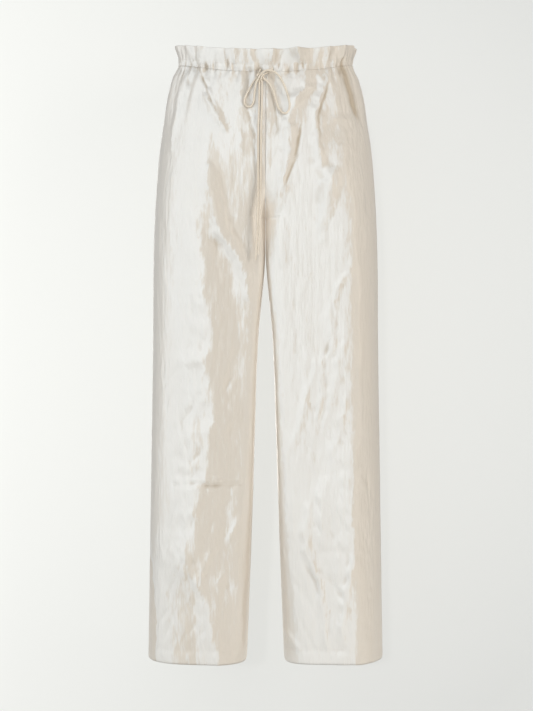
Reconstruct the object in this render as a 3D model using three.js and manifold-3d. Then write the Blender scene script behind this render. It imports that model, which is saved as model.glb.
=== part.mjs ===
// Wide-leg pull-on pants with a paper-bag waist that is drawn up on a cord and tied in a bow.
// The pants keep the hollow form that they have when worn: an open waist, a seat and two open legs.
//
// Millimetres. +Z is up and the front faces -Y, so +X is the wearer's left.
// The origin is the middle of the waist, level with the cord channel at the side seams.

import * as THREE from "three";
import { mergeVertices } from "three/addons/utils/BufferGeometryUtils.js";
import Module from "manifold-3d";

// ---------------------------------------------------------------- driving dimensions
const CLOTH = 1.2; // wall of a leg panel
const FOLDED_CLOTH = 2.0; // wall of the waistband, which is folded double
const HEM_CLOTH = 2.2; // wall of a leg where the hem is turned up inside it
const SEAM_GAP = 0.3; // between two pieces at a seam

const HEADING_TOP = 33; // free ruffle above the cord channel
const CROTCH = -272;
const RISE_CURVE_TOP = -112; // where the centre seams start to curve towards the crotch
const HEM = -1019;
const HEM_DEPTH = 27;
const FULLNESS = 2.3; // 2 would make every section an ellipse, and more squares it up
const CROTCH_FULLNESS = 4.5; // the same on the inseam's side at the crotch
const THIGH_FULLNESS = 9; // and there below it, where the legs press on each other
const THIGH_REACH = 110; // how far below the crotch that is reached
const HEM_FULLNESS = 4; // and there again at the hem
const FRONT_DIP = 25; // how far the waist dips at the centre front
const DIP_ENDS = -165; // no dip below this height

const GATHERS = 48; // small gathers on the cord, all round
const RUFFLES = 22; // broad waves of the heading's free edge, all round
const GATHER_DEPTH = 2.4;
const RUFFLE_DEPTH = 5.0;
const DRAPE_DEPTH = 2.6; // the broad waves again, where they run down below the cord

const CORD = 3.5; // diameter of the round drawcord
const KNOT = { x: -9, y: -106.4, z: -40, width: 14, depth: 11, height: 12 };

// Half sections of the pants. side and inner are measured from the middle to the side seam
// and to the inseam, and front and back from the side seams to the cloth.
const SECTIONS = [
  { z: 33, side: 155, inner: 0, front: 103, back: 103 },
  { z: 0, side: 150, inner: 0, front: 98, back: 98 },
  { z: -24, side: 159, inner: 0, front: 101, back: 103 },
  { z: -59, side: 168, inner: 0, front: 107, back: 113 },
  { z: -94, side: 174, inner: 0, front: 111, back: 122 },
  { z: -145, side: 182, inner: 0, front: 114, back: 130 },
  { z: -232, side: 189, inner: 0, front: 112, back: 131 },
  { z: -336, side: 193, inner: 1, front: 106, back: 120 },
  { z: -474, side: 194, inner: 13, front: 98, back: 108 },
  { z: -682, side: 197, inner: 20, front: 90, back: 97 },
  { z: -889, side: 200, inner: 27, front: 84, back: 88 },
  { z: -1019, side: 202, inner: 32, front: 81, back: 83 },
];

// The largest folds. Each runs straight from (x, z) to (x2, z2) as seen from the front or the
// back, and may run on past the hem. width is its half width, and height is over 0 for a ridge
// and under 0 for a trough.
const FOLDS = {
  front_right: [
    { x: -112, z: 20, x2: -52, z2: -150, width: 11, height: -6 },
    { x: -104, z: -110, x2: -70, z2: -262, width: 15, height: -9 },
    { x: -80, z: -215, x2: -28, z2: -372, width: 15, height: -7 },
    { x: -98, z: -240, x2: -24, z2: -430, width: 13, height: 5 },
    { x: -104, z: -230, x2: -92, z2: -1400, width: 28, height: 10 },
    { x: -150, z: -420, x2: -152, z2: -960, width: 18, height: -4 },
    { x: -40, z: -760, x2: -118, z2: -900, width: 14, height: 5 },
    { x: -60, z: -470, x2: -56, z2: -830, width: 20, height: -5 },
  ],
  front_left: [
    { x: 130, z: 20, x2: 84, z2: -160, width: 12, height: -7 },
    { x: 92, z: 10, x2: 40, z2: -145, width: 12, height: -6 },
    { x: 60, z: -110, x2: 18, z2: -280, width: 14, height: -6 },
    { x: 90, z: -110, x2: 99, z2: -230, width: 13, height: -5 },
    { x: 138, z: -190, x2: 94, z2: -330, width: 15, height: -6 },
    { x: 112, z: -340, x2: 84, z2: -640, width: 15, height: -6 },
    { x: 142, z: -150, x2: 156, z2: -1400, width: 26, height: 11 },
    { x: 62, z: -780, x2: 104, z2: -1010, width: 15, height: -5 },
    { x: 58, z: -330, x2: 60, z2: -720, width: 22, height: 5 },
  ],
  back_right: [
    { x: -120, z: 20, x2: -96, z2: -180, width: 14, height: -7 },
    { x: -62, z: 20, x2: -70, z2: -150, width: 14, height: -6 },
    { x: -104, z: -190, x2: -36, z2: -330, width: 18, height: -8 },
    { x: -90, z: -260, x2: -98, z2: -1400, width: 30, height: 9 },
    { x: -140, z: -420, x2: -128, z2: -860, width: 20, height: -5 },
    { x: -56, z: -420, x2: -64, z2: -760, width: 20, height: -5 },
  ],
  back_left: [
    { x: 112, z: 20, x2: 104, z2: -170, width: 14, height: -7 },
    { x: 54, z: 20, x2: 66, z2: -165, width: 14, height: -6 },
    { x: 110, z: -200, x2: 34, z2: -345, width: 18, height: -8 },
    { x: 93, z: -260, x2: 101, z2: -1400, width: 30, height: 9 },
    { x: 136, z: -380, x2: 146, z2: -800, width: 20, height: -5 },
    { x: 52, z: -470, x2: 60, z2: -880, width: 20, height: -5 },
  ],
};

// Rows of a leg panel from the waist to the hem, in groups that share a number of columns.
const GATHERED_ROWS = [-6.3, -22];
const HALF_GATHERED_ROWS = [-40, -62];
const BODY_ROWS = [-90, -120, -150, -178, -203, -226, -246, -261];
const LEG_ROWS_TO_HEM = 14;
const GATHERED_COLUMNS = 46;
const HALF_GATHERED_COLUMNS = 30;
const FRONT_COLUMNS = 20;
const BACK_COLUMNS = 16;
const WAISTBAND_ROWS = [33, 18, 6, -6];

// Each strand of the drawcord, as points along its middle. Strands run into the knot's middle.
const STRANDS = {
  exit_right: [
    [-9, -97.7, -26],
    [-9, -100.2, -26.3],
    [-10, -103.2, -30],
    [-11, -104.6, -36],
  ],
  exit_left: [
    [10, -99.5, -26],
    [9.8, -101.8, -26.3],
    [4, -104.4, -31],
    [-4, -105.2, -37],
  ],
  loop_right: [
    [-11, -105.4, -38.5],
    [-17, -105.6, -43.5],
    [-24.6, -106, -55.5],
    [-31.6, -107.8, -69],
    [-35, -109.4, -79],
    [-33, -110.2, -87],
    [-26.5, -110.6, -89.5],
    [-21, -110.2, -84],
    [-18.6, -109.8, -70],
    [-17, -110.4, -57],
    [-15, -110.6, -48.6],
    [-12, -110, -43],
  ],
  loop_left: [
    [-8, -108, -37],
    [-4.5, -109.4, -32],
    [2, -110, -29.4],
    [12.4, -109, -30.6],
    [21.5, -107, -37],
    [28.5, -106, -48],
    [34, -107, -61],
    [38, -109, -75],
    [39.6, -111, -89],
    [37, -112, -97.5],
    [31, -112.2, -100.6],
    [24.6, -111.6, -96],
    [19, -110.4, -84],
    [14.5, -109, -69],
    [10.5, -108, -58],
    [4.4, -107.6, -49],
    [-4, -107.6, -41],
  ],
  tail_right: [
    [-10.4, -106, -41],
    [-10.2, -106.4, -50],
    [-10.4, -108, -64],
    [-10.8, -112, -90],
    [-11.4, -114.4, -110],
    [-12, -115.6, -134],
    [-12.2, -116, -177],
    [-12.8, -115.8, -243],
    [-14.2, -115.6, -295],
    [-16.6, -115.4, -344],
  ],
  tail_left: [
    [-6.2, -106, -41],
    [-5.8, -106.4, -50],
    [-6, -108.4, -64],
    [-6.4, -112.4, -90],
    [-7, -114.8, -110],
    [-7.6, -115.8, -134],
    [-7.8, -116, -177],
    [-8.4, -115.8, -243],
    [-9.8, -115.6, -290],
    [-12, -115.4, -334],
  ],
};
const STRAND_STEP = 3 * CORD; // length of one straight piece of a strand
const CORD_SIDES = 8;

// ---------------------------------------------------------------- the cloth's surface
const { PI, sin, cos, atan2, exp, hypot, min, max, abs, sign, ceil } = Math;

const clamp = (value, low = 0, high = 1) => min(high, max(low, value));

const power = (value, exponent) => sign(value) * abs(value) ** exponent;

const smooth = (value) => {
  const t = clamp(value);
  return t * t * (3 - 2 * t);
};

// A column of SECTIONS at height z, on a smooth curve through the table's heights.
function section(z, column) {
  const last = SECTIONS.length - 1;
  const at = clamp(z, SECTIONS[last].z, SECTIONS[0].z);
  let i = 0;
  while (i < last - 1 && at < SECTIONS[i + 1].z) i += 1;
  const slope = (k) => {
    const above = SECTIONS[max(0, k - 1)];
    const below = SECTIONS[min(last, k + 1)];
    return (below[column] - above[column]) / (below.z - above.z);
  };
  const [a, b] = [SECTIONS[i], SECTIONS[i + 1]];
  const height = b.z - a.z;
  const t = (at - a.z) / height;
  return (
    a[column] * (2 * t ** 3 - 3 * t ** 2 + 1) +
    slope(i) * height * (t ** 3 - 2 * t ** 2 + t) +
    b[column] * (3 * t ** 2 - 2 * t ** 3) +
    slope(i + 1) * height * (t ** 3 - t ** 2)
  );
}

// Gathers and ruffle waves at a share of the way round the waist, 0 at the centre front.
function gathers(round, z) {
  const turn = 2 * PI * round;
  const fine =
    sin(GATHERS * turn + 1.4 * sin(5 * turn + 0.6) + 0.7 * sin(11 * turn)) *
    (0.76 + 0.24 * sin(7 * turn + 2));
  const broad =
    sin(RUFFLES * turn + 1.7 * sin(3 * turn + 1) + 0.8 * sin(7 * turn)) *
    (0.72 + 0.28 * sin(4 * turn + 0.5));
  if (z > 0) {
    return GATHER_DEPTH * exp(-z / 14) * fine + RUFFLE_DEPTH * smooth(z / HEADING_TOP) * broad;
  }
  const drape = smooth(-z / 30) * (1 - smooth((-z - 50) / 90));
  return GATHER_DEPTH * exp(z / 26) * fine + DRAPE_DEPTH * drape * broad;
}

// The height of one fold at (x, z): a soft bump across it, fading out towards both ends.
function fold(f, x, z) {
  const along = { x: f.x2 - f.x, z: f.z2 - f.z };
  const length = hypot(along.x, along.z);
  const t = ((x - f.x) * along.x + (z - f.z) * along.z) / length ** 2;
  if (t <= 0 || t >= 1) return 0;
  const across = ((x - f.x) * along.z - (z - f.z) * along.x) / length;
  return f.height * 4 * t * (1 - t) * exp(-((across / f.width) ** 2));
}

// How square a section is on the inseam's side.
function inseamFullness(z) {
  const rise = smooth((RISE_CURVE_TOP - z) / (RISE_CURVE_TOP - CROTCH));
  const thigh = smooth((CROTCH - z) / THIGH_REACH);
  const leg = smooth((CROTCH - THIGH_REACH - z) / (CROTCH - THIGH_REACH - HEM));
  const upper = FULLNESS + (CROTCH_FULLNESS - FULLNESS) * rise;
  return upper + (THIGH_FULLNESS - CROTCH_FULLNESS) * thigh - (THIGH_FULLNESS - HEM_FULLNESS) * leg;
}

function clothPoint({ side, face, folds }, t, z) {
  const outer = section(z, "side");
  const inner = z > CROTCH ? SEAM_GAP / 2 : max(0.4, section(z, "inner"));
  const depth = section(z, face < 0 ? "front" : "back");
  // Above the crotch the centre seam curves in until the half section has become a leg's ring.
  const curve = smooth((RISE_CURVE_TOP - z) / (RISE_CURVE_TOP - CROTCH));
  const half = (outer - inner) / (1 + curve);
  const middle = outer - half;
  const squared = inseamFullness(z);
  const seam = (1 - curve ** squared) ** (1 / squared);
  const missing = PI - atan2(seam ** (FULLNESS / 2), -(curve ** (FULLNESS / 2)));
  const angle = PI * (1 - t) - missing * (1 - t) ** (1 + 3 * curve);
  const full = cos(angle) < 0 ? squared : FULLNESS;
  const turned = { x: power(cos(angle), 2 / FULLNESS), y: power(sin(angle), 2 / FULLNESS) };
  const reach = (abs(turned.x) ** full + abs(turned.y) ** full) ** (-1 / full);
  const ring = { x: reach * turned.x, y: reach * turned.y };
  const across = {
    x: power(ring.x, full - 1) / half,
    y: power(ring.y, full - 1) / depth,
  };
  const unit = hypot(across.x, across.y);
  const round = face < 0 ? (side > 0 ? 0.25 * t : 1 - 0.25 * t) : 0.5 - side * 0.25 * t;
  const awayFromSeams = smooth(t / 0.1) * smooth((1 - t) / 0.1);
  const x = middle + half * ring.x;
  let raised = gathers(round, z);
  for (const f of folds) {
    raised += fold(f, side * x, z) * ring.y * awayFromSeams;
  }
  const dipFade = smooth((z - DIP_ENDS) / -DIP_ENDS);
  const dip = face < 0 ? FRONT_DIP * ring.y ** 2 * dipFade : 0;
  return new THREE.Vector3(
    side * (x + (raised * across.x) / unit),
    face * (depth * ring.y + (raised * across.y) / unit),
    z - dip,
  );
}

// The level direction out of the cloth there, from points a little to each side.
function clothOutward(panel, t, z) {
  const step = 0.004;
  const along = clothPoint(panel, min(1, t + step), z);
  along.sub(clothPoint(panel, max(0, t - step), z));
  const turn = panel.side * panel.face;
  return new THREE.Vector3(-along.y * turn, along.x * turn, 0).normalize();
}

// The nearest point that leaves half a seam's gap to the panels beside this one.
const withinSeams = ({ side, face }, { x, y, z }) =>
  new THREE.Vector3(side * max(SEAM_GAP / 2, side * x), face * max(SEAM_GAP / 2, face * y), z);

// ---------------------------------------------------------------- solids
// Triangles between two rows of points that may have different numbers of columns.
function strip(upper, lower) {
  const faces = [];
  const [n, m] = [upper.length - 1, lower.length - 1];
  let [i, j] = [0, 0];
  while (i < n || j < m) {
    if (j === m || (i < n && (i + 1) * m <= (j + 1) * n)) {
      faces.push([upper[i], lower[j], upper[i + 1]]);
      i += 1;
    } else {
      faces.push([upper[i], lower[j], lower[j + 1]]);
      j += 1;
    }
  }
  return faces;
}

// A closed wall from rows of points, each row running along the outer and the inner face.
function wall(rows) {
  const positions = [];
  const add = ({ x, y, z }) => positions.push(x, y, z) / 3 - 1;
  const outer = rows.map((row) => row.map((pair) => add(pair.outer)));
  const inner = rows.map((row) => row.map((pair) => add(pair.inner)));
  const faces = [];
  for (let r = 0; r + 1 < rows.length; r += 1) {
    faces.push(...strip(outer[r], outer[r + 1]));
    faces.push(...strip(inner[r], inner[r + 1]).map(([a, b, c]) => [a, c, b]));
  }
  const edgeOf = (grid) => [
    ...grid[0],
    ...grid.slice(1, -1).map((row) => row.at(-1)),
    ...grid.at(-1).toReversed(),
    ...grid.slice(1, -1).map((row) => row[0]).toReversed(),
  ];
  const [outerEdge, innerEdge] = [edgeOf(outer), edgeOf(inner)];
  outerEdge.forEach((a, k) => {
    const next = (k + 1) % outerEdge.length;
    faces.push([a, outerEdge[next], innerEdge[next]], [a, innerEdge[next], innerEdge[k]]);
  });
  return { positions, faces };
}

function meshOf(name, { positions, faces }, material, turned) {
  const geometry = new THREE.BufferGeometry();
  geometry.setAttribute("position", new THREE.Float32BufferAttribute(positions, 3));
  geometry.setIndex(faces.flatMap(([a, b, c]) => (turned ? [a, c, b] : [a, b, c])));
  geometry.computeVertexNormals();
  const mesh = new THREE.Mesh(geometry, material);
  mesh.name = name;
  return mesh;
}

// One row of a panel's wall, from the centre seam or inseam to the side seam.
const rowAt = (panel, z, columns, thickness) =>
  Array.from({ length: columns + 1 }, (_, i) => {
    const outer = clothPoint(panel, i / columns, z);
    const outward = clothOutward(panel, i / columns, z);
    const inner = outer.clone().addScaledVector(outward, -thickness);
    return { outer: withinSeams(panel, outer), inner: withinSeams(panel, inner) };
  });

const cloth = new THREE.MeshStandardMaterial({ color: 0xded6c9, roughness: 0.38, metalness: 0.0 });
const bandCloth = new THREE.MeshStandardMaterial({ color: 0xdfd8cb, roughness: 0.4, metalness: 0.0 });
const cordCloth = new THREE.MeshStandardMaterial({ color: 0xd8ccb8, roughness: 0.45, metalness: 0.0 });

// A leg panel, from the waistband down to the foot of the hem.
function legPanel(name, side, face) {
  const panel = { side, face, folds: FOLDS[name] };
  const columns = face < 0 ? FRONT_COLUMNS : BACK_COLUMNS;
  const hemTop = HEM + HEM_DEPTH;
  const rows = [
    ...GATHERED_ROWS.map((z) => rowAt(panel, z, GATHERED_COLUMNS, CLOTH)),
    ...HALF_GATHERED_ROWS.map((z) => rowAt(panel, z, HALF_GATHERED_COLUMNS, CLOTH)),
    ...BODY_ROWS.map((z) => rowAt(panel, z, columns, CLOTH)),
  ];
  for (let i = 0; i <= LEG_ROWS_TO_HEM; i += 1) {
    const z = CROTCH + ((hemTop - CROTCH) * i) / LEG_ROWS_TO_HEM;
    rows.push(rowAt(panel, z, columns, CLOTH));
  }
  rows.push(rowAt(panel, hemTop - 2, columns, HEM_CLOTH));
  rows.push(rowAt(panel, HEM, columns, HEM_CLOTH));
  return meshOf(name, wall(rows), cloth, side * face > 0);
}

// Half of the waistband, from side seam to side seam: cord channel below, free heading above.
function waistbandHalf(name, face) {
  const rows = WAISTBAND_ROWS.map((z) => {
    const half = (side) => rowAt({ side, face, folds: [] }, z, GATHERED_COLUMNS, FOLDED_CLOTH);
    return [...half(-1).reverse(), ...half(1).slice(1)];
  });
  return meshOf(name, wall(rows), bandCloth, face > 0);
}

// ---------------------------------------------------------------- the drawcord
const wasm = await Module();
wasm.setup();

function solidFrom(geometry) {
  const bare = geometry.clone();
  bare.deleteAttribute("normal");
  bare.deleteAttribute("uv");
  const merged = mergeVertices(bare, 1e-3);
  return new wasm.Manifold(
    new wasm.Mesh({
      numProp: 3,
      vertProperties: merged.attributes.position.array,
      triVerts: new Uint32Array(merged.index.array),
    }),
  );
}

function meshFromSolid(name, solid, material) {
  const { numProp, vertProperties, triVerts } = solid.getMesh();
  const positions = [];
  for (let i = 0; i < vertProperties.length; i += numProp) {
    positions.push(...vertProperties.subarray(i, i + 3));
  }
  const geometry = new THREE.BufferGeometry();
  geometry.setAttribute("position", new THREE.Float32BufferAttribute(positions, 3));
  geometry.setIndex([...triVerts]);
  geometry.computeVertexNormals();
  const mesh = new THREE.Mesh(geometry, material);
  mesh.name = name;
  return mesh;
}

// The knot is a small rounded lump, grown by extra on every side.
function knotGeometry(extra = 0) {
  const geometry = new THREE.SphereGeometry(0.5, 14, 10);
  geometry.scale(KNOT.width + 2 * extra, KNOT.depth + 2 * extra, KNOT.height + 2 * extra);
  return geometry.translate(KNOT.x, KNOT.y, KNOT.z);
}

function strandGeometry(points) {
  const path = new THREE.CatmullRomCurve3(
    points.map((p) => new THREE.Vector3(...p)),
    false,
    "centripetal",
  );
  const corners = Array.from({ length: CORD_SIDES }, (_, i) => {
    const angle = (2 * PI * i) / CORD_SIDES;
    return new THREE.Vector2((CORD / 2) * cos(angle), (CORD / 2) * sin(angle));
  });
  return new THREE.ExtrudeGeometry(new THREE.Shape(corners), {
    extrudePath: path,
    steps: ceil(path.getLength() / STRAND_STEP),
    bevelEnabled: false,
  });
}

function drawcord() {
  const group = new THREE.Group();
  const seat = solidFrom(knotGeometry(SEAM_GAP));
  for (const [name, points] of Object.entries(STRANDS)) {
    const strand = solidFrom(strandGeometry(points)).subtract(seat);
    group.add(meshFromSolid(`cord_${name}`, strand, cordCloth));
  }
  group.add(meshFromSolid("bow_knot", solidFrom(knotGeometry()), cordCloth));
  return group;
}

// ---------------------------------------------------------------- the whole garment
const pants = new THREE.Group();
pants.add(
  legPanel("front_right", -1, -1),
  legPanel("front_left", 1, -1),
  legPanel("back_right", -1, 1),
  legPanel("back_left", 1, 1),
  waistbandHalf("waistband_front", -1),
  waistbandHalf("waistband_back", 1),
  drawcord(),
);

export default pants;
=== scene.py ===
# %% [markdown]
# # Wide-leg pants with a cord at the waist
# These pants hang as if they are worn: an open waist, a seat and two straight, wide legs. The cloth is a
# thin, crisp satin in ivory, so most of what is seen is light that runs along its folds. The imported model
# is loaded first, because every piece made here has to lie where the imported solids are.

import math

import bpy
import numpy as np
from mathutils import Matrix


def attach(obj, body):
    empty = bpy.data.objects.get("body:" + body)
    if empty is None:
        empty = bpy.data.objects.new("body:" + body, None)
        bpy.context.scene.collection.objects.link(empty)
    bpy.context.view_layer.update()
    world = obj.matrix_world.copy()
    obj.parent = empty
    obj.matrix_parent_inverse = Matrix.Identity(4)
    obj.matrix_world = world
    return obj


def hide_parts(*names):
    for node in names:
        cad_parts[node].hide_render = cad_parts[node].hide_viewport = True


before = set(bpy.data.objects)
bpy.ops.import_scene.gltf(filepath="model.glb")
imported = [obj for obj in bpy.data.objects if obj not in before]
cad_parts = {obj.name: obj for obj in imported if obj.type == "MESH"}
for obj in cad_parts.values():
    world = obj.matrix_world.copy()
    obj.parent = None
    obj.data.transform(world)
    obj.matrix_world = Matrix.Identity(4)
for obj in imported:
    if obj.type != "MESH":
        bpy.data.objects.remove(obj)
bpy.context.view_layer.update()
MM = 0.001

# %% [markdown]
# ## Camera
# The pants are seen straight from the front, level with the middle of the thighs, and from far enough away
# that both legs look upright. A long lens does that. Turning the camera a quarter turn about X points it
# level along Y.

# %% Set the camera
CAMERA_AT = (0.0017, -2.5, -0.501)
LENS, SENSOR = 73.16, 36

bpy.ops.object.camera_add(location=CAMERA_AT, rotation=(math.pi / 2, 0, 0))
camera = bpy.context.object
camera.name = "front_camera"
camera.data.lens = LENS
camera.data.sensor_width = SENSOR
bpy.context.scene.camera = camera
bpy.context.scene.view_settings.view_transform = "Standard"
print("camera at", CAMERA_AT)

# %% [markdown]
# ## Drawcord
# A soft round cord runs through the channel of the waistband. Its two ends come out of buttonholes at the
# centre front, meet in a bow, and hang down as two long tails. A curve with a round bevel is the natural
# way to make a cord, because its points are the cord's own path. Each end is one curve from its buttonhole
# through the knot to its tip, and each loop of the bow is a curve that leaves the knot and comes back.

# %% Lay the cord
CORD = 3.5
CORD_STEPS, CORD_ROUNDNESS = 8, 3
CORD_PATHS = {
    "cord_right": [
        (-9, -97.7, -26), (-9, -100.2, -26.3), (-10, -103.2, -30), (-11, -104.6, -36),
        (-10.4, -106, -41), (-10.2, -106.4, -50), (-10.4, -108, -64), (-10.8, -112, -90),
        (-11.4, -114.4, -110), (-12, -115.6, -134), (-12.2, -116, -177), (-12.8, -115.8, -243),
        (-14.2, -115.6, -295), (-16.6, -115.4, -344),
    ],
    "cord_left": [
        (10, -99.5, -26), (9.8, -101.8, -26.3), (4, -104.4, -31), (-4, -105.2, -37),
        (-6.2, -106, -41), (-5.8, -106.4, -50), (-6, -108.4, -64), (-6.4, -112.4, -90),
        (-7, -114.8, -110), (-7.6, -115.8, -134), (-7.8, -116, -177), (-8.4, -115.8, -243),
        (-9.8, -115.6, -290), (-12, -115.4, -334),
    ],
    "bow_loop_right": [
        (-11, -105.4, -38.5), (-17, -105.6, -43.5), (-24.6, -106, -55.5), (-31.6, -107.8, -69),
        (-35, -109.4, -79), (-33, -110.2, -87), (-26.5, -110.6, -89.5), (-21, -110.2, -84),
        (-18.6, -109.8, -70), (-17, -110.4, -57), (-15, -110.6, -48.6), (-12, -110, -43),
    ],
    "bow_loop_left": [
        (-8, -108, -37), (-4.5, -109.4, -32), (2, -110, -29.4), (12.4, -109, -30.6),
        (21.5, -107, -37), (28.5, -106, -48), (34, -107, -61), (38, -109, -75),
        (39.6, -111, -89), (37, -112, -97.5), (31, -112.2, -100.6), (24.6, -111.6, -96),
        (19, -110.4, -84), (14.5, -109, -69), (10.5, -108, -58), (4.4, -107.6, -49), (-4, -107.6, -41),
    ],
}


def cord_curve(name, path):
    """A round cord along a path in millimetres, as one open curve."""
    curve = bpy.data.curves.new(name, "CURVE")
    curve.dimensions = "3D"
    curve.resolution_u = CORD_STEPS
    curve.bevel_depth = CORD / 2 * MM
    curve.bevel_resolution = CORD_ROUNDNESS
    curve.use_fill_caps = True
    spline = curve.splines.new("BEZIER")
    spline.bezier_points.add(len(path) - 1)
    for point, place in zip(spline.bezier_points, path):
        point.co = [v * MM for v in place]
        point.handle_left_type = point.handle_right_type = "AUTO"
    cord = bpy.data.objects.new(name, curve)
    bpy.context.collection.objects.link(cord)
    return cord


def path_length(path):
    """The length of a path in millimetres, measured straight from point to point."""
    return float(np.linalg.norm(np.diff(np.array(path, float), axis=0), axis=1).sum())


cords = {name: cord_curve(name, path) for name, path in CORD_PATHS.items()}
print("cord lengths in mm:", {name: round(path_length(path)) for name, path in CORD_PATHS.items()})

# %% [markdown]
# The knot of a bow is the same cord, wound tightly over itself. It is wound here as a short coil that
# leans a little, and both of its ends turn in to the middle, where they can't be seen.

# %% Wind the knot
KNOT_AT = (-9, -106.4, -40)
KNOT_SIZE = (14, 11, 12)
KNOT_TURNS, KNOT_POINTS = 2.5, 30
KNOT_START = 0.6
KNOT_LEAN = 1.3
KNOT_TUCK = 0.1  # how far out its two ends stay


def knot_path():
    """Points of the coil that stands for the knot, in millimetres."""
    turns = np.linspace(0, KNOT_TURNS, KNOT_POINTS)
    middle = np.array(KNOT_AT)
    reach = (np.array(KNOT_SIZE) - CORD) / 2
    angle = 2 * math.pi * turns + KNOT_START
    along = (turns / KNOT_TURNS * 2 - 1) * reach[0] + KNOT_LEAN * np.sin(angle)
    coil = np.stack([along, -reach[1] * np.cos(angle), reach[2] * np.sin(angle)], 1)
    tuck = [1, KNOT_TUCK, KNOT_TUCK]
    return [tuple(middle + point) for point in (coil[0] * tuck, *coil, coil[-1] * tuck)]


knot = cord_curve("bow_knot_wraps", knot_path())
print("knot wound from", round(path_length(knot_path())), "mm of cord")

# %% [markdown]
# ## The form of the cloth
# All the cloth lies on one smooth form. A table gives half sections at twelve heights, each section is a
# squared ellipse, and from the waist to the crotch the section slowly splits into the rings of two legs.
# Any point of the cloth is then found from two numbers: how far round a panel it is, and its height. Folds
# and gathers are added as small heights along the cloth's outward direction.

# %% Describe the form
CROTCH = -272
RISE_CURVE_TOP = -112
HEM = -1019
HEM_TURN = 27
HEADING_TOP = 33
WAIST_SEAM = -6
FULLNESS = 2.3  # how square a section is, where 2 would be an ellipse
CROTCH_FULLNESS = 6  # and on the inseam's side at the crotch
THIGH_FULLNESS = 15  # and there below it
THIGH_REACH = 110
HEM_FULLNESS = 4  # and there at the hem
FRONT_DIP = 25
DIP_ENDS = -165
SEAM_GAP, INSEAM_GAP = 0.15, 0.4  # from the middle plane to the cloth, above and below the crotch
SECTIONS = np.array(  # height, side, inner, front, back
    [
        (-1019, 202, 32, 81, 83), (-889, 200, 27, 84, 88), (-682, 197, 20, 90, 97),
        (-474, 194, 13, 98, 108), (-336, 193, 1, 106, 120), (-232, 189, 0, 112, 131),
        (-145, 182, 0, 114, 130), (-94, 174, 0, 111, 122), (-59, 168, 0, 107, 113),
        (-24, 159, 0, 101, 103), (0, 150, 0, 98, 98), (33, 155, 0, 103, 103),
    ],
    float,
)
SIDE, INNER, FRONT, BACK = 1, 2, 3, 4


def smooth(value):
    """0 below 0, 1 above 1, and a soft step between."""
    t = np.clip(value, 0, 1)
    return t * t * (3 - 2 * t)


def power(value, exponent):
    """A power that keeps the sign."""
    return np.sign(value) * np.abs(value) ** exponent


def section(z, column):
    """One column of SECTIONS at height z, on a smooth curve through the table."""
    heights, values = SECTIONS[:, 0], SECTIONS[:, column]
    z = np.clip(z, heights[0], heights[-1])
    below = np.maximum(np.arange(len(heights)) - 1, 0)
    above = np.minimum(np.arange(len(heights)) + 1, len(heights) - 1)
    slopes = (values[above] - values[below]) / (heights[above] - heights[below])
    i = np.clip(np.searchsorted(heights, z, side="right") - 1, 0, len(heights) - 2)
    step = heights[i + 1] - heights[i]
    t = (z - heights[i]) / step
    return (
        values[i] * (2 * t**3 - 3 * t**2 + 1)
        + slopes[i] * step * (t**3 - 2 * t**2 + t)
        + values[i + 1] * (3 * t**2 - 2 * t**3)
        + slopes[i + 1] * step * (t**3 - t**2)
    )


def inseam_fullness(z):
    """How square a section is on the inseam's side, where the two legs press on each other."""
    rise = smooth((RISE_CURVE_TOP - z) / (RISE_CURVE_TOP - CROTCH))
    thigh = smooth((CROTCH - z) / THIGH_REACH)
    leg = smooth((CROTCH - THIGH_REACH - z) / (CROTCH - THIGH_REACH - HEM))
    upper = FULLNESS + (CROTCH_FULLNESS - FULLNESS) * rise
    return upper + (THIGH_FULLNESS - CROTCH_FULLNESS) * thigh - (THIGH_FULLNESS - HEM_FULLNESS) * leg


def form(side, face, t, z):
    """Place, outward direction and fullness of the smooth form, before any folds."""
    outer = section(z, SIDE)
    inner = np.where(z > CROTCH, SEAM_GAP, np.maximum(INSEAM_GAP, section(z, INNER)))
    depth = section(z, FRONT if face < 0 else BACK)
    curve = smooth((RISE_CURVE_TOP - z) / (RISE_CURVE_TOP - CROTCH))
    half = (outer - inner) / (1 + curve)
    squared = inseam_fullness(z)
    seam = (1 - curve**squared) ** (1 / squared)
    missing = np.pi - np.arctan2(seam ** (FULLNESS / 2), -(curve ** (FULLNESS / 2)))
    angle = np.pi * (1 - t) - missing * (1 - t) ** (1 + 3 * curve)
    full = np.where(np.cos(angle) < 0, squared, FULLNESS)
    ring_x, ring_y = power(np.cos(angle), 2 / FULLNESS), power(np.sin(angle), 2 / FULLNESS)
    reach = (np.abs(ring_x) ** full + np.abs(ring_y) ** full) ** (-1 / full)
    ring_x, ring_y = ring_x * reach, ring_y * reach
    out_x, out_y = power(ring_x, full - 1) / half, power(ring_y, full - 1) / depth
    unit = np.hypot(out_x, out_y)
    dip = FRONT_DIP * ring_y**2 * smooth((z - DIP_ENDS) / -DIP_ENDS) if face < 0 else 0 * z
    place = np.stack([side * (outer - half + half * ring_x), face * depth * ring_y, z - dip], -1)
    outward = np.stack([side * out_x / unit, face * out_y / unit, 0 * z], -1)
    return place, outward, ring_y


print("form from", HEADING_TOP, "to", HEM, "mm, with", len(SECTIONS), "sections")

# %% [markdown]
# ## Gathers
# The cord draws the waist in, so the cloth is pushed into small gathers at the channel. They die out
# within a hand's width below it, and open into broad waves at the free edge of the heading. Sums of sine
# waves with uneven phases give gathers that never look like a comb. Smaller creases come from a smooth
# random field that is made from a seeded table, so the same cloth comes out each time.

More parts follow.
